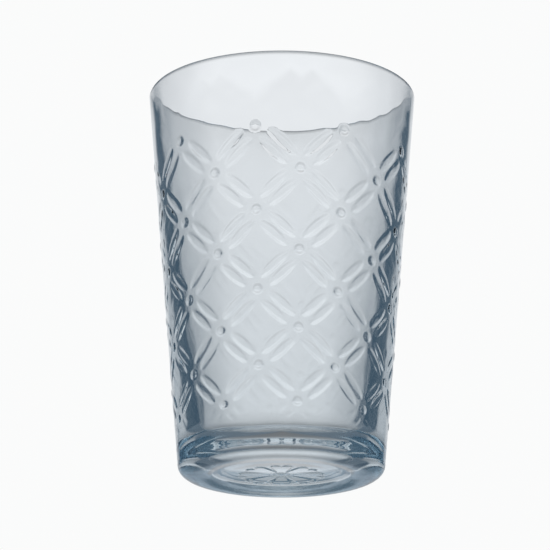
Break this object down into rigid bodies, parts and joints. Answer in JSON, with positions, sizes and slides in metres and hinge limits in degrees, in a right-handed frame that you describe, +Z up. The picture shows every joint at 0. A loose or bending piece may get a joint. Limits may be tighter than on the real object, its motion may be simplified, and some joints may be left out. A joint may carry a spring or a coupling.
{
  "type": "drinking glass tumbler",
  "caption": "Tapered pressed-glass drinking tumbler with a low quilted relief of beads and twin leaves, a thick base, a rounded heel and a shallow recess with a rosette underneath.",
  "frame": {"origin": "centre of the foot, on the plane of the resting ring", "axes": "+Z up along the axis of the glass, towards the rim; -Y towards the viewer"},
  "size_m": [0.0812, 0.0812, 0.12],
  "materials": {
    "glass": "clear pale blue-grey pressed glass, glossy"
  },
  "bodies": {
    "root": {"tumbler": "glass"}
  },
  "joints": []
}
